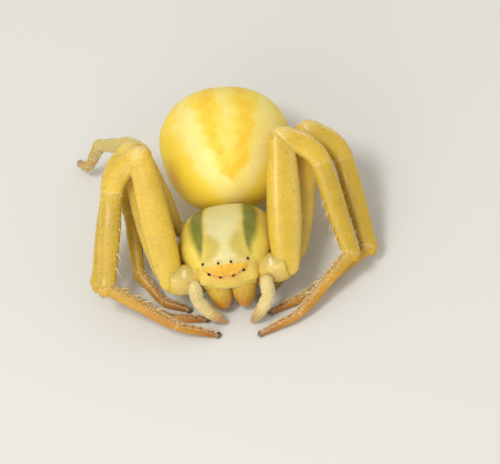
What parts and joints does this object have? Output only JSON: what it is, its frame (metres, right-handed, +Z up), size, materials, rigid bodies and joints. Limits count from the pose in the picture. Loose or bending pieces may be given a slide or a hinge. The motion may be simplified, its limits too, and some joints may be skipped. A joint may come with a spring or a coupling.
{
  "type": "crab spider model",
  "caption": "Life-size still model of a yellow crab spider, front legs drawn up and bent forward in its waiting pose, standing on the floor on its foot tips.",
  "frame": {"origin": "middle of the overall box on the floor, under the rear of the carapace", "axes": "the spider faces -Y, +X is its left, +Z up"},
  "size_m": [0.0132, 0.0124, 0.0062],
  "materials": {
    "body": "waxy, yellow at the sides with two olive bands and a cream middle",
    "abdomen": "satin bright yellow with two deeper bands and cream patches",
    "legs": "waxy golden yellow, orange at the feet, with fine dark spines",
    "palps": "waxy cream with short dark bristles",
    "jaws": "waxy yellow-orange, brown at the fangs",
    "eyes": "glossy black, the front middle pair dark red"
  },
  "bodies": {
    "root": {"abdomen": "abdomen", "cephalothorax": "body", "chelicera_left": "jaws", "chelicera_right": "jaws", "eye_front_middle_left": "eyes", "eye_front_middle_right": "eyes", "eye_front_side_left": "eyes", "eye_front_side_right": "eyes", "eye_rear_middle_left": "eyes", "eye_rear_middle_right": "eyes", "eye_rear_side_left": "eyes", "eye_rear_side_right": "eyes", "leg_1_left_femur": "legs", "leg_1_left_foot": "legs", "leg_1_left_tibia": "legs", "leg_1_right_femur": "legs", "leg_1_right_foot": "legs", "leg_1_right_tibia": "legs", "leg_2_left_femur": "legs", "leg_2_left_foot": "legs", "leg_2_left_tibia": "legs", "leg_2_right_femur": "legs", "leg_2_right_foot": "legs", "leg_2_right_tibia": "legs", "leg_3_left_femur": "legs", "leg_3_left_foot": "legs", "leg_3_left_tibia": "legs", "leg_3_right_femur": "legs", "leg_3_right_foot": "legs", "leg_3_right_tibia": "legs", "leg_4_left_femur": "legs", "leg_4_left_foot": "legs", "leg_4_left_tibia": "legs", "leg_4_right_femur": "legs", "leg_4_right_foot": "legs", "leg_4_right_tibia": "legs", "palp_left_femur": "palps", "palp_left_tarsus": "palps", "palp_right_femur": "palps", "palp_right_tarsus": "palps", "spinnerets": "abdomen"}
  },
  "joints": []
}
